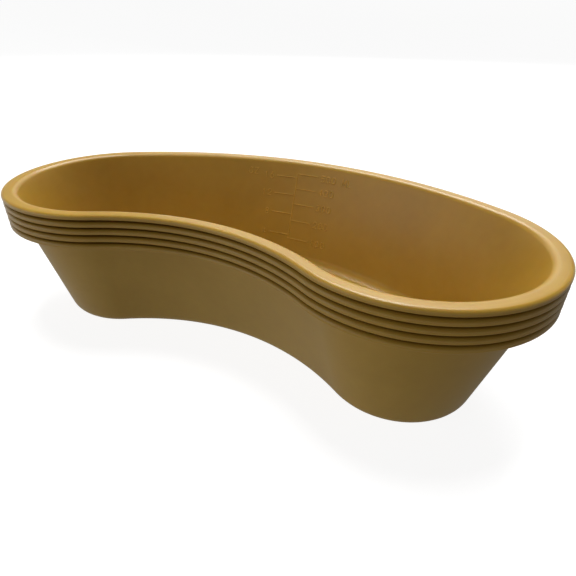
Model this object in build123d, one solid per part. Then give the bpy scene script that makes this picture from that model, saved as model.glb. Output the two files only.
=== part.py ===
from build123d import *
import math
import os

# A stack of five identical kidney dishes, nested one in another. Every dish is a single moulding:
# flat base, drafted kidney-shaped wall, flat rim with a rounded shoulder and a short turned-down skirt,
# and a raised volume scale on the inside of the convex back.
# Millimetres, +Z up, long side along X, convex back towards +Y. The lowest dish stands on z = 0.

# ---- driving dimensions ----
dish_count = 5
stack_pitch = 2.8          # how far each nested dish stands above the one below
dish_height = 46.0         # underside of the base to the top of the rim
wall = 0.55                # wall and floor thickness

# rim outline, measured at the outside of the skirt
rim_half_length = 110.0
rim_lobe_r = 45.75         # the two round ends
rim_back_r = 159.0         # the long convex back
rim_hollow_r = 82.0        # the concave front that sits against the body

# base outline, measured at the sharp corner before the base edge is rounded
base_half_length = 92.3
base_lobe_r = 27.1
base_back_r = 142.0
base_hollow_r = 91.0
base_shift_y = -2.6        # lobe centres of the base against those of the rim

# rim section
wall_inset_at_rim = 4.9    # outside of the skirt to the outside of the wall, at the rim's top plane
rim_thickness = 0.9
skirt_height = 1.8
skirt_thickness = 0.9
shoulder_r = 1.2
skirt_root_r = 0.5         # inside corner under the shoulder
inner_lip_r = 2.4          # soft edge between the flat rim and the inside wall
base_edge_r = 5.8          # rounded edge of the base, outside

# moulding gate under the base: a shallow dimple with the trimmed nub in it
gate_y = 6.0
gate_r = 3.0
gate_depth = 0.2
gate_nub_r = 0.8

# raised scale inside the back, seen from the front; heights follow from the volume below each mark
ml_marks = (100, 200, 300, 400, 500)
oz_marks = (4, 8, 12, 16)
ml_per_oz = 29.574
relief = 0.2               # how far the marks stand out of the wall
root = 0.15                # how deep they reach into it
stroke = 0.45              # width of every line
line_x = -6.0              # the upright line both scales share
tick_length = 10.7
label_gap = 1.7
digit_height = 3.2
digit_width = 2.2
digit_advance = 2.9
lip_clearance = 4.2        # no label reaches nearer than this to the rim's top plane


def arc_centres(half_length, lobe_r, back_r, hollow_r, lobe_y):
    """Lobe centre x, and the centre heights and seam angles of the back and hollow arcs."""
    a = half_length - lobe_r
    back_y = lobe_y - math.sqrt((back_r - lobe_r) ** 2 - a ** 2)
    hollow_y = lobe_y - math.sqrt((hollow_r + lobe_r) ** 2 - a ** 2)
    return a, back_y, hollow_y, math.atan2(lobe_y - back_y, a), math.atan2(lobe_y - hollow_y, a)


def kidney(half_length, lobe_r, back_r, hollow_r, lobe_y, z, inset=0.0):
    """Closed kidney outline of four tangent arcs at height z, moved inwards by inset."""
    a, back_y, hollow_y, back_angle, hollow_angle = arc_centres(half_length, lobe_r, back_r, hollow_r, lobe_y)
    rb = back_r - inset
    rl = lobe_r - inset
    rh = hollow_r + inset
    p1 = Vector(rb * math.cos(back_angle), back_y + rb * math.sin(back_angle), z)
    p2 = Vector(rh * math.cos(hollow_angle), hollow_y + rh * math.sin(hollow_angle), z)
    middle = 0.5 * (back_angle + hollow_angle - math.pi)
    lobe_mid = Vector(a + rl * math.cos(middle), lobe_y + rl * math.sin(middle), z)
    m1 = Vector(-p1.X, p1.Y, z)
    m2 = Vector(-p2.X, p2.Y, z)
    mirror_mid = Vector(-lobe_mid.X, lobe_mid.Y, z)
    arcs = [
        Edge.make_three_point_arc(m1, Vector(0, back_y + rb, z), p1),
        Edge.make_three_point_arc(p1, lobe_mid, p2),
        Edge.make_three_point_arc(p2, Vector(0, hollow_y + rh, z), m2),
        Edge.make_three_point_arc(m2, mirror_mid, m1),
    ]
    return Wire(arcs)


# the rim outline is centred front to back on y = 0
rim_a = rim_half_length - rim_lobe_r
back_rise = rim_back_r - math.sqrt((rim_back_r - rim_lobe_r) ** 2 - rim_a ** 2)
rim_lobe_y = 0.5 * (rim_lobe_r - back_rise)
base_lobe_y = rim_lobe_y + base_shift_y
RIM = (rim_half_length, rim_lobe_r, rim_back_r, rim_hollow_r, rim_lobe_y)
BASE = (base_half_length, base_lobe_r, base_back_r, base_hollow_r, base_lobe_y)


def tapered_body(inset):
    """Solid with the dish's drafted sides, from the base plane to the rim's top plane."""
    low = kidney(*BASE, 0, inset)
    high = kidney(*RIM, dish_height, wall_inset_at_rim + inset)
    return Solid.make_loft([low, high], ruled=True)


def edges_at(shape, z):
    """Edges that lie flat in the plane at height z."""
    return [e for e in shape.edges() if abs(e.center().Z - z) < 1e-3 and e.bounding_box().size.Z < 1e-3]


def plate(wire, thickness):
    return Solid.extrude(Face(wire), Vector(0, 0, thickness))


# ---- volume held below a height, for the scale ----
def outline_points(half_length, lobe_r, back_r, hollow_r, lobe_y, inset, n=48):
    """The same outline as kidney(), as points in order round it."""
    a, back_y, hollow_y, t1, t2 = arc_centres(half_length, lobe_r, back_r, hollow_r, lobe_y)
    spans = (
        (0, back_y, back_r - inset, math.pi - t1, t1),
        (a, lobe_y, lobe_r - inset, t1, t2 - math.pi),
        (0, hollow_y, hollow_r + inset, t2, math.pi - t2),
        (-a, lobe_y, lobe_r - inset, 2 * math.pi - t2, math.pi - t1),
    )
    points = []
    for x, y, r, start, end in spans:
        for i in range(n):
            t = start + (end - start) * i / n
            points.append((x + r * math.cos(t), y + r * math.sin(t)))
    return points


low_points = outline_points(*BASE, wall)
high_points = outline_points(*RIM, wall_inset_at_rim + wall)


def section_area(z):
    """Area of the hollow at height z, with the rounded floor edge taken off."""
    k = z / dish_height
    ring = [(p[0] + (q[0] - p[0]) * k, p[1] + (q[1] - p[1]) * k) for p, q in zip(low_points, high_points)]
    area = 0.0
    length = 0.0
    for i in range(len(ring)):
        x0, y0 = ring[i - 1]
        x1, y1 = ring[i]
        area += 0.5 * (x0 * y1 - x1 * y0)
        length += math.hypot(x1 - x0, y1 - y0)
    r = base_edge_r - wall
    up = z - wall
    cut = 0.0
    if up < r:
        cut = r - math.sqrt(r * r - (r - up) ** 2)
    return abs(area) - length * cut


def height_holding(ml):
    """Height at which the dish holds this many millilitres."""
    step = 0.05
    z = wall
    volume = 0.0
    while volume < ml * 1000:
        volume += section_area(z + step / 2) * step
        z += step
    return z


# ---- numerals and letters, as strokes on a cell one digit wide and high ----
def line(x0, y0, x1, y1):
    length = math.hypot(x1 - x0, y1 - y0)
    turn = math.degrees(math.atan2(y1 - y0, x1 - x0))
    return Pos((x0 + x1) / 2, (y0 + y1) / 2) * Rot(0, 0, turn) * SlotCenterToCenter(length, stroke)


def bow(x, y, r, start, sweep):
    """Part of a circle round (x, y), from the start angle, as a stroke."""
    return SlotArc(CenterArc((x, y), r, start, sweep), stroke)


def ring(x, y, width, height):
    outer = SlotOverall(height + stroke, width + stroke, rotation=90)
    inner = SlotOverall(height - stroke, width - stroke, rotation=90)
    return Pos(x, y) * (outer - inner)


def circle_ring(x, y, r):
    return Pos(x, y) * (Circle(r + stroke / 2) - Circle(r - stroke / 2))


W = digit_width - stroke
T = digit_height - stroke


def glyph(character):
    """Strokes of one character; its cell runs from 0 to W and 0 to T between stroke centres."""
    if character in "0O":
        return [ring(W / 2, T / 2, W, T)]
    if character == "1":
        return [line(W / 2, 0, W / 2, T), line(W / 2, T, W * 0.15, T * 0.78)]
    if character == "2":
        r = W / 2
        return [bow(r, T - r, r, -35, 205), line(r + r * 0.82, T - r - r * 0.57, 0, 0), line(0, 0, W, 0)]
    if character == "3":
        r = T / 4
        return [bow(W / 2, T - r, r, -90, 235), bow(W / 2, r, r, -145, 235)]
    if character == "4":
        return [line(W * 0.72, 0, W * 0.72, T), line(W * 0.72, T, 0, T * 0.32), line(0, T * 0.32, W, T * 0.32)]
    if character == "5":
        r = T * 0.31
        return [line(W, T, W * 0.12, T), line(W * 0.12, T, W * 0.06, T * 0.55), bow(W / 2, r, r, -150, 275)]
    if character == "6":
        r = W / 2
        return [circle_ring(r, r, r), line(0.02, r * 1.15, W * 0.62, T)]
    if character == "8":
        r = T / 4
        return [circle_ring(W / 2, T - r, r * 0.94), circle_ring(W / 2, r, r)]
    if character == "Z":
        return [line(0, T, W, T), line(W, T, 0, 0), line(0, 0, W, 0)]
    if character == "M":
        return [line(0, 0, 0, T), line(0, T, W / 2, T * 0.3), line(W / 2, T * 0.3, W, T), line(W, T, W, 0)]
    return [line(0, T, 0, 0), line(0, 0, W * 0.85, 0)]           # L


def label(text, left, middle_z):
    """Strokes of a word whose first character starts at left, centred on the height middle_z."""
    strokes = []
    for i, character in enumerate(text):
        place = Pos(left + stroke / 2 + i * digit_advance, middle_z - T / 2)
        strokes += [place * s for s in glyph(character)]
    return strokes


def label_width(text):
    return digit_width + (len(text) - 1) * digit_advance


def scale_strokes():
    """The whole scale drawn flat: x to the right, y for height."""
    highest = dish_height - lip_clearance - digit_height / 2
    ml_heights = {ml: height_holding(ml) for ml in ml_marks}
    oz_heights = {oz: height_holding(oz * ml_per_oz) for oz in oz_marks}
    top = ml_heights[ml_marks[-1]]
    print("scale heights", {k: round(v, 2) for k, v in ml_heights.items()}, {k: round(v, 2) for k, v in oz_heights.items()})
    strokes = [line(line_x, ml_heights[ml_marks[0]], line_x, top)]
    ml_left = line_x + tick_length + label_gap
    oz_right = line_x - tick_length - label_gap
    for ml, z in ml_heights.items():
        strokes.append(line(line_x, z, line_x + tick_length, z))
        strokes += label(str(ml), ml_left, min(z, highest))
    for oz, z in oz_heights.items():
        strokes.append(line(line_x - tick_length, z, line_x, z))
        strokes += label(str(oz), oz_right - label_width(str(oz)), min(z, highest))
    unit_gap = 3.3
    strokes += label("ML", ml_left + label_width("000") + unit_gap, highest)
    strokes += label("OZ", oz_right - label_width("00") - unit_gap - label_width("OZ"), highest)
    return strokes


def scale_solids():
    """The scale as thin raised solids that follow the inside of the back wall."""
    flat = Sketch() + scale_strokes()
    facing_front = Plane(origin=(0, 60, 0), x_dir=(1, 0, 0), z_dir=(0, -1, 0))
    bars = extrude(facing_front * flat, 45)
    skin = tapered_body(wall - root) - tapered_body(wall + relief)
    window = Pos(0, 42, 25) * Box(90, 40, 44)
    return ((skin & window) & bars).solids()


def make_dish():
    shell = tapered_body(0.0)
    shell = shell.fillet(base_edge_r, edges_at(shell, 0))
    rim = plate(kidney(*RIM, dish_height - skirt_height), skirt_height)
    rim = rim.fillet(shoulder_r, edges_at(rim, dish_height))
    under_low = dish_height - skirt_height - 1
    under = plate(kidney(*RIM, under_low, skirt_thickness), skirt_height + 1 - rim_thickness)
    under = under.fillet(skirt_root_r, edges_at(under, dish_height - rim_thickness))
    body = shell + (rim - under)
    cavity = tapered_body(wall)
    keep = Pos(0, 0, wall) * Box(400, 300, 200, align=(Align.CENTER, Align.CENTER, Align.MIN))
    cavity = (cavity & keep).solid()
    cavity = cavity.fillet(base_edge_r - wall, edges_at(cavity, wall))
    dish = (body - cavity).solid()
    rim_top = [f for f in dish.faces() if abs(f.center().Z - dish_height) < 1e-3 and f.inner_wires()][0]
    dish = dish.fillet(inner_lip_r, rim_top.inner_wires()[0].edges())
    dimple = Pos(0, gate_y, gate_depth / 2) * (Cylinder(gate_r, gate_depth) - Cylinder(gate_nub_r, gate_depth))
    dish = dish - dimple
    return dish.fuse(*scale_solids()).solid()


dish = make_dish()
os.makedirs("parts", exist_ok=True)
for number in range(1, dish_count + 1):
    lift = (number - 1) * stack_pitch
    export_step(dish.moved(Location((0, 0, lift))), f"parts/dish_{number}.step")
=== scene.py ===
import bmesh
import bpy
import math
import numpy as np
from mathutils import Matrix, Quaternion, Vector


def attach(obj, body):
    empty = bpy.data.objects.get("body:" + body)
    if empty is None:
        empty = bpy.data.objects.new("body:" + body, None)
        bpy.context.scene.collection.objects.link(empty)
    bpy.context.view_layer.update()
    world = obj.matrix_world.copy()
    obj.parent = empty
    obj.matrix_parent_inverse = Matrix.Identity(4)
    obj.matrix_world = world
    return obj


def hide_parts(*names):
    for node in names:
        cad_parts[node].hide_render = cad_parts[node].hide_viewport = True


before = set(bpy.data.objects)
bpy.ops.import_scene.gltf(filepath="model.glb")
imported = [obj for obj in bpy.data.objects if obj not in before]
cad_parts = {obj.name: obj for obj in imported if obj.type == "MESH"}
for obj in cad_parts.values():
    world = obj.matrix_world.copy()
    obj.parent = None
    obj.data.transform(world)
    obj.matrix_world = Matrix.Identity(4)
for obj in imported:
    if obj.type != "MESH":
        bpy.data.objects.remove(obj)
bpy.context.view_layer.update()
MM = 0.001                    # the dish is worked out in millimetres, and the scene is in metres

# ---------------------------------------------------------------- the dish, in millimetres
# These repeat the sizes that the CAD model has, because this script can't read its source.
DISH_COUNT = 5
STACK_PITCH = 2.8             # from one rim up to the next
HEIGHT = 46.0                 # of one dish
WALL = 0.55
RIM_ARCS = dict(half_length=110.0, lobe_r=45.75, back_r=159.0, hollow_r=82.0)
BASE_ARCS = dict(half_length=92.3, lobe_r=27.1, back_r=142.0, hollow_r=91.0)
BASE_SHIFT_Y = -2.6           # the base's lobes sit this far from the rim's
WALL_INSET = 4.9              # from the rim's outer edge in to the outside of the wall
RIM_THICKNESS = 0.9
SKIRT_HEIGHT = 1.8
SKIRT_THICKNESS = 0.9
SHOULDER_R = 1.2              # round between the rim's top and the skirt
SKIRT_ROOT_R = 0.5            # round under the rim, inside the skirt
SKIRT_EDGE_R = 0.18           # broken edges of the skirt's foot
LIP_R = 2.4                   # round between the rim's top and the inside wall
BASE_EDGE_R = 5.8
GATE_R, GATE_DEPTH, GATE_NUB_R = 3.0, 0.2, 0.8
GATE_EDGE = 0.04              # broken edges of the gate's dimple and nub
BASE_MIDDLE = np.array([0.0, 6.0])

RIM_LOBE_X = RIM_ARCS["half_length"] - RIM_ARCS["lobe_r"]
BACK_RISE = RIM_ARCS["back_r"] - math.sqrt(
    (RIM_ARCS["back_r"] - RIM_ARCS["lobe_r"]) ** 2 - RIM_LOBE_X ** 2)
RIM_Y = 0.5 * (RIM_ARCS["lobe_r"] - BACK_RISE)      # centres the rim on the origin, front to back
BASE_Y = RIM_Y + BASE_SHIFT_Y

POINTS_BACK = 96              # along the back, and as many along the hollow front
POINTS_LOBE = 84              # round each lobe


def kidney(half_length, lobe_r, back_r, hollow_r, lobe_y, inset=0.0):
    """Closed outline of four tangent arcs: its points, and the outward direction at each."""
    a = half_length - lobe_r
    back_y = lobe_y - math.sqrt((back_r - lobe_r) ** 2 - a * a)
    hollow_y = lobe_y - math.sqrt((hollow_r + lobe_r) ** 2 - a * a)
    t_back = math.atan2(lobe_y - back_y, a)
    t_hollow = math.atan2(lobe_y - hollow_y, a)
    lobe_inset_r = lobe_r - inset
    points, outward = [], []

    def arc(cx, cy, r, t0, t1, n, sign):
        t = np.linspace(t0, t1, n, endpoint=False)
        d = np.stack([np.cos(t), np.sin(t)], 1)
        points.append(np.array([cx, cy]) + r * d)
        outward.append(sign * d)

    arc(0, back_y, back_r - inset, math.pi - t_back, t_back, POINTS_BACK, 1)
    arc(a, lobe_y, lobe_inset_r, t_back, t_hollow - math.pi, POINTS_LOBE, 1)
    arc(0, hollow_y, hollow_r + inset, t_hollow, math.pi - t_hollow, POINTS_BACK, -1)
    arc(-a, lobe_y, lobe_inset_r, 2 * math.pi - t_hollow, math.pi - t_back, POINTS_LOBE, 1)
    return np.concatenate(points), np.concatenate(outward)


def wall_outlines(inset):
    """The drafted wall's outlines at height 0 and at the rim's height, moved inwards by inset."""
    low, _ = kidney(lobe_y=BASE_Y, inset=inset, **BASE_ARCS)
    top, _ = kidney(lobe_y=RIM_Y, inset=WALL_INSET + inset, **RIM_ARCS)
    return low, top


def wall_at(inset, z):
    """Points of the drafted wall at heights z, either one height or one per point."""
    low, top = wall_outlines(inset)
    return low + (top - low) * (np.broadcast_to(z, len(top)) / HEIGHT)[:, None]


RIM, RIM_OUT = kidney(lobe_y=RIM_Y, **RIM_ARCS)
_, BASE_OUT = kidney(lobe_y=BASE_Y, **BASE_ARCS)
OUTER_LOW, OUTER_TOP = wall_outlines(0.0)
LEAN = np.arctan(((OUTER_TOP - OUTER_LOW) * RIM_OUT).sum(1) / HEIGHT)      # draft at each point


def quarter_turn(steps):
    """Angles from 0 to 90 degrees."""
    return [f * np.pi / 2 for f in np.linspace(0, 1, steps)]


def rounded_corner(inset, level, r, steps, outward, side):
    """Rows of the round between a flat face at a height of level and the wall, from the face on.

    side is 1 where the wall goes up and outwards from the face, and -1 where it goes down and inwards."""
    start = r / np.tan((np.pi / 2 + LEAN) / 2)       # the round begins this far before the corner
    corner = wall_at(inset, level)
    rows = []
    for f in np.linspace(0, 1, steps):
        angle = (1 - f) * np.pi / 2 + f * LEAN
        past = side * (r * np.cos(angle) - start)
        rows.append((corner + outward * past[:, None], level + side * (r - r * np.sin(angle))))
    last_xy, last_z = rows[-1]
    drift = wall_at(inset, last_z) - last_xy         # spread over the rows, to end on the wall
    return [(xy + drift * ((z - level) / (last_z - level))[:, None], z) for xy, z in rows]


def floor_rows(edge_xy, z):
    """Flat floor of the bowl, from its middle out to the rounded edge."""
    return [(BASE_MIDDLE + (edge_xy - BASE_MIDDLE) * f, z) for f in (0.0, 0.25, 0.5, 0.75)]


def gate_rows(edge_xy):
    """Underside of the base: the moulding gate's dimple with its nub, then flat to the edge."""
    out = edge_xy - BASE_MIDDLE
    out /= np.linalg.norm(out, axis=1)[:, None]
    e = GATE_EDGE
    profile = [(0.0, 0.0), (GATE_NUB_R - e, 0.0), (GATE_NUB_R, e),
               (GATE_NUB_R, GATE_DEPTH - e), (GATE_NUB_R + e, GATE_DEPTH),
               (GATE_R - e, GATE_DEPTH), (GATE_R, GATE_DEPTH - e), (GATE_R, e),
               (GATE_R + e, 0.0), (GATE_R + 1.0, 0.0)]
    rows = [(BASE_MIDDLE + out * r, z) for r, z in profile]
    start = rows[-1][0]
    return rows + [(start + (edge_xy - start) * f, 0.0) for f in (0.2, 0.45, 0.75)]


def wall_rows(inset, z0, z1, fractions):
    """Rows of the wall between the heights z0 and z1, at these fractions of the way."""
    return [(wall_at(inset, z0 + (z1 - z0) * f), z0 + (z1 - z0) * f) for f in fractions]


def rim_rows():
    """The rim's underside, the skirt and the rounded shoulder, from the wall outwards and up."""
    under, foot = HEIGHT - RIM_THICKNESS, HEIGHT - SKIRT_HEIGHT
    e = SKIRT_EDGE_R
    root = SKIRT_THICKNESS + SKIRT_ROOT_R            # where the flat underside ends
    section = [(inwards, under) for inwards in (3.6, 2.4, root + 0.3)]
    section += [(SKIRT_THICKNESS + SKIRT_ROOT_R * (1 - math.sin(t)),
                 under - SKIRT_ROOT_R * (1 - math.cos(t))) for t in quarter_turn(4)]
    section += [(SKIRT_THICKNESS - e + e * math.cos(t), foot + e - e * math.sin(t))
                for t in quarter_turn(3)]
    section += [(e - e * math.sin(t), foot + e - e * math.cos(t)) for t in quarter_turn(3)]
    section += [(SHOULDER_R * (1 - math.cos(t)), HEIGHT - SHOULDER_R + SHOULDER_R * math.sin(t))
                for t in quarter_turn(9)]
    return [(RIM - RIM_OUT * inwards, z) for inwards, z in section]


def dish_rows():
    """The whole skin of a dish, row by row: under the base, up outside, over the rim and down inside."""
    outer_round = rounded_corner(0.0, 0.0, BASE_EDGE_R, 9, BASE_OUT, 1)
    lip = rounded_corner(WALL, HEIGHT, LIP_R, 9, RIM_OUT, -1)
    inner_round = rounded_corner(WALL, WALL, BASE_EDGE_R - WALL, 8, BASE_OUT, 1)
    shoulder_xy, lip_xy = RIM - RIM_OUT * SHOULDER_R, lip[0][0]
    rows = gate_rows(outer_round[0][0]) + outer_round
    rows += wall_rows(0.0, outer_round[-1][1], HEIGHT - RIM_THICKNESS, np.linspace(0, 1, 9)[1:])
    rows += rim_rows()
    rows += [(shoulder_xy * (1 - f) + lip_xy * f, HEIGHT) for f in (0.35, 0.7)] + lip
    rows += wall_rows(WALL, lip[-1][1], inner_round[-1][1], np.linspace(0, 1, 14)[1:-1])
    return rows + inner_round[::-1] + floor_rows(inner_round[0][0], WALL)[::-1]


def clean(mesh, weld=False):
    """Merge doubled points if asked to, turn every face outwards and shade the mesh smooth."""
    bm = bmesh.new()
    bm.from_mesh(mesh)
    if weld:
        bmesh.ops.remove_doubles(bm, verts=bm.verts, dist=1e-7)
        bmesh.ops.dissolve_degenerate(bm, edges=bm.edges, dist=1e-8)
    bmesh.ops.recalc_face_normals(bm, faces=bm.faces)
    bm.to_mesh(mesh)
    bm.free()
    mesh.polygons.foreach_set("use_smooth", [True] * len(mesh.polygons))


def build_dish(rows):
    """Mesh of a dish, with an attribute "flow" that runs round the dish and across its section."""
    n = len(RIM)
    points = np.concatenate(
        [np.column_stack([xy, np.broadcast_to(z, n)]) for xy, z in rows]) * MM
    faces = []
    for a in range(0, (len(rows) - 1) * n, n):
        b = a + n
        for j in range(n):
            k = (j + 1) % n
            faces.append((a + j, b + j, b + k, a + k))
    mesh = bpy.data.meshes.new("dish")
    mesh.from_pydata([tuple(p) for p in points], [], faces)

    along = np.linalg.norm(np.roll(RIM, -1, axis=0) - RIM, axis=1)
    turn = 2 * math.pi * np.concatenate([[0], np.cumsum(along)[:-1]]) / along.sum()
    radius = along.sum() / (2 * math.pi) * MM
    across = 0.0
    flow = []
    for i, (xy, z) in enumerate(rows):
        if i:
            sideways = np.linalg.norm(xy - rows[i - 1][0], axis=1)
            across += np.mean(np.hypot(sideways, z - rows[i - 1][1])) * MM
        flow.append(np.column_stack([radius * np.cos(turn), radius * np.sin(turn), np.full(n, across)]))
    layer = mesh.attributes.new("flow", "FLOAT_VECTOR", "POINT")
    layer.data.foreach_set("vector", np.concatenate(flow).ravel())
    clean(mesh, weld=True)
    return mesh


# ---------------------------------------------------------------- the raised scale inside the back
ML_MARKS = (100, 200, 300, 400, 500)
OZ_MARKS = (4, 8, 12, 16)
ML_PER_OZ = 29.574
RELIEF, STROKE = 0.2, 0.45    # height and width of a ridge
SINK = 0.02                   # a ridge's edges lie this far inside the wall, so no gap shows
LINE_X = -6.0                 # the upright line that the ticks stand on
TICK_LENGTH, LABEL_GAP, UNIT_GAP = 10.7, 1.7, 3.3
DIGIT_HEIGHT, DIGIT_WIDTH, DIGIT_ADVANCE = 3.2, 2.2, 2.9
LIP_CLEARANCE = 4.2           # no label stands closer to the rim's top than this
POINT_SPACING = 0.35          # along a straight stroke
LAYER = 0.05                  # thickness of the slices that the volume is added up from


def scale_heights():
    """Height of the liquid for a volume in millilitres, from the hollow's cross-sections."""
    low, top = wall_outlines(WALL)
    r = BASE_EDGE_R - WALL
    held, total = [], 0.0
    for z in np.arange(WALL, HEIGHT, LAYER) + LAYER / 2:
        p = low + (top - low) * z / HEIGHT
        q = np.roll(p, -1, axis=0)
        area = 0.5 * abs((p[:, 0] * q[:, 1] - q[:, 0] * p[:, 1]).sum())
        if z - WALL < r:
            round_width = r - math.sqrt(r * r - (r - z + WALL) ** 2)
            area -= np.linalg.norm(q - p, axis=1).sum() * round_width
        total += area * LAYER / 1000
        held.append(total)
    return lambda ml: WALL + LAYER * (1 + int(np.searchsorted(held, ml)))


def segment(x0, y0, x1, y1):
    """A straight stroke: its points, and whether it is closed."""
    n = max(2, int(math.hypot(x1 - x0, y1 - y0) / POINT_SPACING) + 1)
    return np.column_stack([np.linspace(x0, x1, n), np.linspace(y0, y1, n)]), False


def bow(x, y, r, start, sweep):
    """A stroke along a circle, from start through sweep, both in degrees."""
    closed = abs(sweep) >= 360
    n = max(8, int(abs(sweep) / 12))
    t = np.radians(np.linspace(start, start + sweep, n, endpoint=not closed))
    return np.column_stack([x + r * np.cos(t), y + r * np.sin(t)]), closed


def oval(x, y, width, height):
    """A closed stroke with straight sides and round ends."""
    r = width / 2
    t = np.radians(np.arange(0, 360, 12) + 6)
    lift = np.where(np.sin(t) > 0, 1, -1) * (height / 2 - r)
    return np.column_stack([x + r * np.cos(t), y + r * np.sin(t) + lift]), True


def glyph(c):
    """Strokes of one character, with its lower left corner at the origin."""
    w, t = DIGIT_WIDTH - STROKE, DIGIT_HEIGHT - STROKE
    if c in "0O":
        return [oval(w / 2, t / 2, w, t)]
    if c == "1":
        return [segment(w / 2, 0, w / 2, t), segment(w / 2, t, w * 0.15, t * 0.78)]
    if c == "2":
        r = w / 2
        return [bow(r, t - r, r, -35, 205), segment(r + r * 0.82, t - r - r * 0.57, 0, 0),
                segment(0, 0, w, 0)]
    if c == "3":
        r = t / 4
        return [bow(w / 2, t - r, r, -90, 235), bow(w / 2, r, r, -145, 235)]
    if c == "4":
        return [segment(w * 0.72, 0, w * 0.72, t), segment(w * 0.72, t, 0, t * 0.32),
                segment(0, t * 0.32, w, t * 0.32)]
    if c == "5":
        r = t * 0.31
        return [segment(w, t, w * 0.12, t), segment(w * 0.12, t, w * 0.06, t * 0.55),
                bow(w / 2, r, r, -150, 275)]
    if c == "6":
        r = w / 2
        return [bow(r, r, r, 0, 360), segment(0.02, r * 1.15, w * 0.62, t)]
    if c == "8":
        r = t / 4
        return [bow(w / 2, t - r, r * 0.94, 0, 360), bow(w / 2, r, r, 0, 360)]
    if c == "Z":
        return [segment(0, t, w, t), segment(w, t, 0, 0), segment(0, 0, w, 0)]
    if c == "M":
        return [segment(0, 0, 0, t), segment(0, t, w / 2, t * 0.3), segment(w / 2, t * 0.3, w, t),
                segment(w, t, w, 0)]
    if c == "L":
        return [segment(0, t, 0, 0), segment(0, 0, w * 0.85, 0)]
    raise ValueError(f"no strokes for {c}")


def label(text, left, middle):
    """Strokes of a line of text, from its left end and the middle of its height."""
    strokes = []
    for i, c in enumerate(text):
        corner = np.array([left + STROKE / 2 + i * DIGIT_ADVANCE,
                           middle - (DIGIT_HEIGHT - STROKE) / 2])
        strokes += [(points + corner, closed) for points, closed in glyph(c)]
    return strokes


def label_width(text):
    return DIGIT_WIDTH + (len(text) - 1) * DIGIT_ADVANCE


def scale_strokes():
    """Every stroke of the scale, flat: x across the back, and the height above the table."""
    height = scale_heights()
    highest = HEIGHT - LIP_CLEARANCE - DIGIT_HEIGHT / 2
    ml = {v: height(v) for v in ML_MARKS}
    oz = {v: height(v * ML_PER_OZ) for v in OZ_MARKS}
    ml_left = LINE_X + TICK_LENGTH + LABEL_GAP
    oz_right = LINE_X - TICK_LENGTH - LABEL_GAP
    strokes = [segment(LINE_X, ml[ML_MARKS[0]], LINE_X, ml[ML_MARKS[-1]])]
    for v, z in ml.items():
        strokes.append(segment(LINE_X, z, LINE_X + TICK_LENGTH, z))
        strokes += label(str(v), ml_left, min(z, highest))
    for v, z in oz.items():
        strokes.append(segment(LINE_X - TICK_LENGTH, z, LINE_X, z))
        strokes += label(str(v), oz_right - label_width(str(v)), min(z, highest))
    strokes += label("ML", ml_left + label_width("000") + UNIT_GAP, highest)
    oz_left = oz_right - label_width("00") - UNIT_GAP - label_width("OZ")
    return strokes + label("OZ", oz_left, highest)


def on_back_wall(flat):
    """Points of the inside back wall at flat (x, height) points, and the wall's direction there."""
    low, top = (outline[:POINTS_BACK] for outline in wall_outlines(WALL))

    def depth(x, z):
        p = low + (top - low) * z / HEIGHT
        return np.interp(x, p[:, 0], p[:, 1])

    points, outward = [], []
    for x, z in flat:
        points.append((x, depth(x, z), z))
        slope_x = depth(x + 1, z) - depth(x - 1, z)
        slope_z = depth(x, z + 1) - depth(x, z - 1)
        outward.append((slope_x, -2.0, slope_z))
    outward = np.array(outward)
    return np.array(points), outward / np.linalg.norm(outward, axis=1)[:, None]


def tapered(flat):
    """An open stroke with its ends rounded off: its points, and the ridge's size at each."""
    first, last = flat[0] - flat[1], flat[-1] - flat[-2]
    first, last = first / np.linalg.norm(first), last / np.linalg.norm(last)
    steps = np.array([0.97, 0.8, 0.45]) * STROKE / 2     # out past the end, from the tip back
    ends = np.sqrt(1 - (steps / (STROKE / 2)) ** 2)
    points = np.concatenate([flat[:1] + first * steps[:, None], flat,
                             flat[-1:] + last * steps[::-1, None]])
    return points, np.concatenate([ends, np.ones(len(flat)), ends[::-1]])


def build_scale():
    """Mesh of every stroke, as a low rounded ridge standing on the wall."""
    verts, faces = [], []
    section = np.linspace(0, math.pi, 7)
    m = len(section)
    for flat, closed in scale_strokes():
        size = np.ones(len(flat))
        if not closed:
            flat, size = tapered(flat)
        at, up = on_back_wall(flat)
        ahead = np.roll(at, -1, axis=0) - np.roll(at, 1, axis=0)
        if not closed:
            ahead[0], ahead[-1] = at[1] - at[0], at[-1] - at[-2]
        side = np.cross(up, ahead)
        side /= np.linalg.norm(side, axis=1)[:, None]
        start, count = len(verts), len(at)
        for p, n, s, f in zip(at, up, side, size):
            for t in section:
                across = s * (STROKE / 2 * math.cos(t) * f)
                lift = n * (RELIEF * math.sin(t) * f - SINK)
                verts.append(tuple((p + across + lift) * MM))
        for i in range(count if closed else count - 1):
            a, b = start + i * m, start + (i + 1) % count * m
            for j in range(m):
                k = (j + 1) % m
                faces.append((a + j, a + k, b + k, b + j))
        if not closed:
            faces.append(tuple(start + j for j in range(m)))
            faces.append(tuple(start + (count - 1) * m + j for j in reversed(range(m))))
    mesh = bpy.data.meshes.new("scale")
    mesh.from_pydata(verts, [], faces)
    clean(mesh)
    return mesh


# ---------------------------------------------------------------- shader nodes
def map_range(tree, value, from_min, from_max, to_min=0.0, to_max=1.0):
    node = tree.nodes.new("ShaderNodeMapRange")
    for key, v in (("From Min", from_min), ("From Max", from_max),
                   ("To Min", to_min), ("To Max", to_max)):
        node.inputs[key].default_value = v
    tree.links.new(value, node.inputs["Value"])
    return node.outputs[0]


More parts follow.
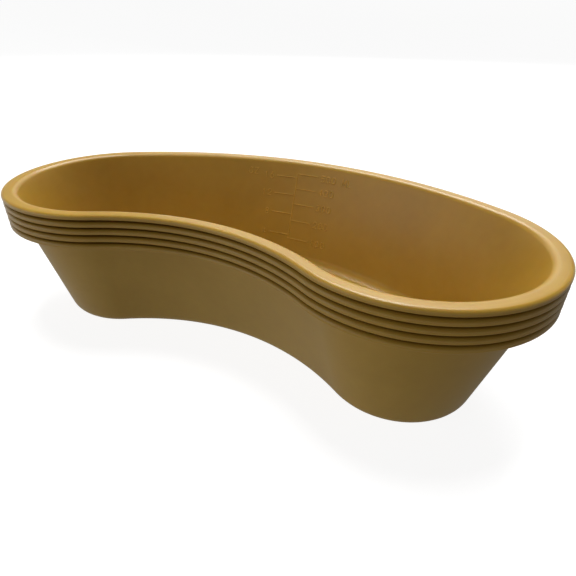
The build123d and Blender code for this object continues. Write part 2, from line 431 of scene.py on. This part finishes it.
def colour_ramp(tree, factor, stops):
    """Colour along (position, (red, green, blue)) stops."""
    ramp = tree.nodes.new("ShaderNodeValToRGB")
    elements = ramp.color_ramp.elements
    elements[0].position = stops[0][0]
    elements[1].position = stops[-1][0]
    for position, _ in stops[1:-1]:
        elements.new(position)
    for element, (_, colour) in zip(elements, stops):
        element.color = (*colour, 1)
    tree.links.new(factor, ramp.inputs[0])
    return ramp.outputs["Color"]


PLASTIC_DARK = (0.415, 0.240, 0.029)
PLASTIC_PALE = (0.485, 0.290, 0.043)
PLASTIC_IOR = 1.49
LIGHT_REACH = 0.0013          # metres that light travels inside the plastic, for red
LIGHT_REACH_BY_COLOUR = (1.0, 0.38, 0.06)
BUMP_DISTANCE = 0.000004      # metres for one unit of the bump's height
STREAKS_FROM, STREAKS_FULL = HEIGHT - 1.9, HEIGHT - 0.4     # heights where the rim's streaks fade in


def gold_plastic(name, depth, lift=1.0):
    """Moulded plastic: satin skin, faint flow clouds, fine streaks along the rim and light scuffs.

    depth is how much of the light goes into the plastic and comes out again; lift makes it paler, which
    paints a highlight onto the ridges of the scale."""
    mat = bpy.data.materials.new(name)
    mat.use_nodes = True
    tree = mat.node_tree
    nodes, links = tree.nodes, tree.links
    bsdf = nodes["Principled BSDF"]
    place = nodes.new("ShaderNodeTexCoord").outputs["Object"]
    flow = nodes.new("ShaderNodeAttribute")
    flow.attribute_name = "flow"

    def stretched(source, scale, rotation=(0.0, 0.0, 0.0)):
        m = nodes.new("ShaderNodeMapping")
        m.inputs["Rotation"].default_value = rotation
        m.inputs["Scale"].default_value = scale
        links.new(source, m.inputs["Vector"])
        return m.outputs["Vector"]

    def noise(source, scale, detail=2.0, rough=0.5, warp=0.0):
        n = nodes.new("ShaderNodeTexNoise")
        n.inputs["Scale"].default_value = scale
        n.inputs["Detail"].default_value = detail
        n.inputs["Roughness"].default_value = rough
        n.inputs["Distortion"].default_value = warp
        links.new(source, n.inputs["Vector"])
        return n.outputs[0]

    def combine(kind, a, b):
        m = nodes.new("ShaderNodeMath")
        m.operation = kind
        for socket, v in zip(m.inputs, (a, b)):
            if isinstance(v, (int, float)):
                socket.default_value = v
            else:
                links.new(v, socket)
        return m.outputs[0]

    def centred(value):
        return combine("SUBTRACT", value, 0.5)

    def add_up(base, *terms):
        """base, plus each term's value times its weight."""
        for value, weight in terms:
            base = combine("ADD", combine("MULTIPLY", value, weight), base)
        return base

    clouds = noise(place, 26.0, detail=3.0, rough=0.55, warp=0.6)   # flow marks, centimetres across
    mottle = noise(place, 260.0)                                    # pigment, a few millimetres
    grain = noise(place, 5200.0, detail=1.0)                        # skin of the mould, about 0.2 mm
    waves = noise(place, 45.0)                                      # the surface isn't quite flat
    along_rim = stretched(flow.outputs["Vector"], (14.0, 14.0, 2600.0))
    streaks = noise(along_rim, 1.0, detail=3.0, rough=0.6)
    level = nodes.new("ShaderNodeSeparateXYZ")
    links.new(place, level.inputs[0])
    on_rim = map_range(tree, level.outputs["Z"], STREAKS_FROM * MM, STREAKS_FULL * MM)
    drawn = combine("MULTIPLY", centred(streaks), on_rim)

    hairs = []                                       # wiping and stacking scuffs, in two directions
    for rotation in ((0.0, 0.2, 0.5), (0.3, 0.2, -1.1)):
        lines = noise(stretched(place, (30.0, 2100.0, 900.0), rotation), 1.0)
        hairs.append(map_range(tree, lines, 0.70, 0.76))
    patches = map_range(tree, noise(place, 70.0, detail=1.0), 0.48, 0.62)
    scuffs = combine("MULTIPLY", combine("MAXIMUM", *hairs), patches)

    tone = add_up(0.5, (centred(clouds), 1.1), (centred(mottle), 0.35), (drawn, 0.9))
    # lift pales the colour; on the scale's ridges this is a painted highlight
    stops = [(position, [v * lift for v in colour])
             for position, colour in ((0.2, PLASTIC_DARK), (0.8, PLASTIC_PALE))]
    links.new(colour_ramp(tree, tone, stops), bsdf.inputs["Base Color"])
    rough = add_up(0.29, (clouds, 0.08), (mottle, 0.05), (scuffs, 0.16), (drawn, 0.25))
    links.new(rough, bsdf.inputs["Roughness"])
    bump = nodes.new("ShaderNodeBump")
    bump.inputs["Strength"].default_value = 1.0
    bump.inputs["Distance"].default_value = BUMP_DISTANCE
    relief = add_up(grain, (drawn, 2.2), (scuffs, -0.8), (waves, 14.0))
    links.new(relief, bump.inputs["Height"])
    links.new(bump.outputs[0], bsdf.inputs["Normal"])
    bsdf.inputs["IOR"].default_value = PLASTIC_IOR
    bsdf.inputs["Subsurface Weight"].default_value = depth
    bsdf.inputs["Subsurface Radius"].default_value = LIGHT_REACH_BY_COLOUR
    bsdf.inputs["Subsurface Scale"].default_value = LIGHT_REACH
    return mat


# ---------------------------------------------------------------- the stack
def new_object(name, data):
    obj = bpy.data.objects.new(name, data)
    bpy.context.collection.objects.link(obj)
    return obj


dish_mesh = build_dish(dish_rows())
marks_mesh = build_scale()
dish_mesh.materials.append(gold_plastic("gold_plastic", depth=0.25))
# The ridges have a material of their own, painted paler than the wall as a painted highlight for the
# light that their tops catch, because with the wall's they come out darker than the wall.
marks_mesh.materials.append(gold_plastic("gold_plastic_painted_highlight", depth=0.0, lift=1.28))
for k in range(1, DISH_COUNT + 1):
    node = f"dish_{k}"
    for name, mesh in ((f"shell_{k}", dish_mesh), (f"scale_{k}", marks_mesh)):
        obj = new_object(name, mesh)
        obj.location.z = (k - 1) * STACK_PITCH * MM
        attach(obj, node)
        if mesh is dish_mesh:
            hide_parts(node)

# ---------------------------------------------------------------- floor, light and camera, in metres
FLOOR_GAP = 0.0002            # keeps the floor clear of the lowest dish's underside
FLOOR_GREY = 0.25
FLOOR_GLOW = 0.9              # keeps the floor and the backdrop evenly pale from every side


def sweep():
    """Round studio floor that curves up into a pale backdrop on every side."""
    flat_r, bend_r, height, turns, bends = 2.2, 0.9, 3.2, 96, 16
    profile = [(0.02, 0.0), (0.5, 0.0), (flat_r, 0.0)]
    for i in range(1, bends + 1):
        t = i / bends * math.pi / 2
        profile.append((flat_r + bend_r * math.sin(t), bend_r - bend_r * math.cos(t)))
    profile.append((flat_r + bend_r, height))
    verts, faces = [], [tuple(range(turns))]
    for r, z in profile:
        for j in range(turns):
            t = 2 * math.pi * j / turns
            verts.append((r * math.cos(t), r * math.sin(t), z - FLOOR_GAP))
    for a in range(0, (len(profile) - 1) * turns, turns):
        b = a + turns
        for j in range(turns):
            k = (j + 1) % turns
            faces.append((a + j, b + j, b + k, a + k))
    mesh = bpy.data.meshes.new("floor")
    mesh.from_pydata(verts, [], faces)
    mesh.polygons.foreach_set("use_smooth", [True] * len(mesh.polygons))
    mat = bpy.data.materials.new("floor")
    mat.use_nodes = True
    shader = mat.node_tree.nodes["Principled BSDF"]
    shader.inputs["Base Color"].default_value = (FLOOR_GREY, FLOOR_GREY, FLOOR_GREY, 1)
    shader.inputs["Roughness"].default_value = 0.9
    shader.inputs["Specular IOR Level"].default_value = 0.1
    shader.inputs["Emission Color"].default_value = (1, 1, 1, 1)
    shader.inputs["Emission Strength"].default_value = FLOOR_GLOW
    mesh.materials.append(mat)
    obj = new_object("floor", mesh)
    obj.visible_diffuse = False
    obj.visible_glossy = False
    obj.visible_shadow = False


# Brightness of the room by height: from straight down at 0, through the horizon at 0.5, to straight up.
ROOM_BY_HEIGHT = [(0.0, 0.13), (0.30, 0.16), (0.40, 0.31), (0.49, 0.40), (0.54, 0.32),
                  (0.66, 0.05), (1.0, 0.02)]
ROOM_LEFT, ROOM_RIGHT = 2.6, 1.0
ROOM_BLUE = 0.98              # a little less blue than red and green


def studio_surroundings():
    """Room light: a lit table top just under the horizon, dim elsewhere, and brighter to the left."""
    world = bpy.data.worlds.new("studio")
    bpy.context.scene.world = world
    world.use_nodes = True
    tree = world.node_tree
    coord = tree.nodes.new("ShaderNodeTexCoord")
    split = tree.nodes.new("ShaderNodeSeparateXYZ")
    tree.links.new(coord.outputs["Generated"], split.inputs[0])
    stops = [(position, (v, v, v * ROOM_BLUE)) for position, v in ROOM_BY_HEIGHT]
    colour = colour_ramp(tree, map_range(tree, split.outputs["Z"], -1, 1), stops)
    strength = map_range(tree, split.outputs["X"], -1, 1, ROOM_LEFT, ROOM_RIGHT)
    background = tree.nodes["Background"]
    tree.links.new(colour, background.inputs["Color"])
    tree.links.new(strength, background.inputs["Strength"])


LIGHTS_AIM = Vector((0, 0, 0.03))


def area(name, size, energy, at):
    """Rectangular light of this size and wattage, aimed at the stack."""
    data = bpy.data.lights.new(name, "AREA")
    data.shape = "RECTANGLE"
    data.size, data.size_y = size
    data.energy = energy
    light = new_object(name, data)
    light.location = at
    light.rotation_euler = (LIGHTS_AIM - Vector(at)).to_track_quat("-Z", "Y").to_euler()


sweep()
studio_surroundings()
area("back_softbox", (0.9, 0.7), 22.0, (-0.20, 0.85, 1.35))
area("back_panel", (2.0, 0.6), 5.0, (-0.50, 1.75, 0.85))
area("overhead", (0.30, 0.30), 12.0, (-0.10, 0.10, 1.6))
area("front_left", (0.9, 0.7), 2.2, (-1.1, -1.1, 0.6))

AZIMUTH, ELEVATION, ROLL = math.radians(26.0), math.radians(30.78), math.radians(0.94)
DISTANCE = 0.11177            # from the target back to the camera
TARGET = Vector((0.04275, -0.06074, 0.0572))     # level with the top rim and 9 mm outside it
SENSOR_WIDTH, LENS = 36.0, 27.36                 # in millimetres
CLIP_START = 0.005            # the camera stands only about 0.1 from the rim
back = Vector((math.sin(AZIMUTH) * math.cos(ELEVATION),
               -math.cos(AZIMUTH) * math.cos(ELEVATION), math.sin(ELEVATION)))
cam_data = bpy.data.cameras.new("camera")
cam_data.sensor_width = SENSOR_WIDTH
cam_data.lens = LENS
cam_data.clip_start = CLIP_START
cam = new_object("camera", cam_data)
cam.location = TARGET + back * DISTANCE
cam.rotation_mode = "QUATERNION"
cam.rotation_quaternion = (-back).to_track_quat("-Z", "Y") @ Quaternion((0, 0, 1), ROLL)
bpy.context.scene.camera = cam
bpy.context.scene.view_settings.view_transform = "Standard"
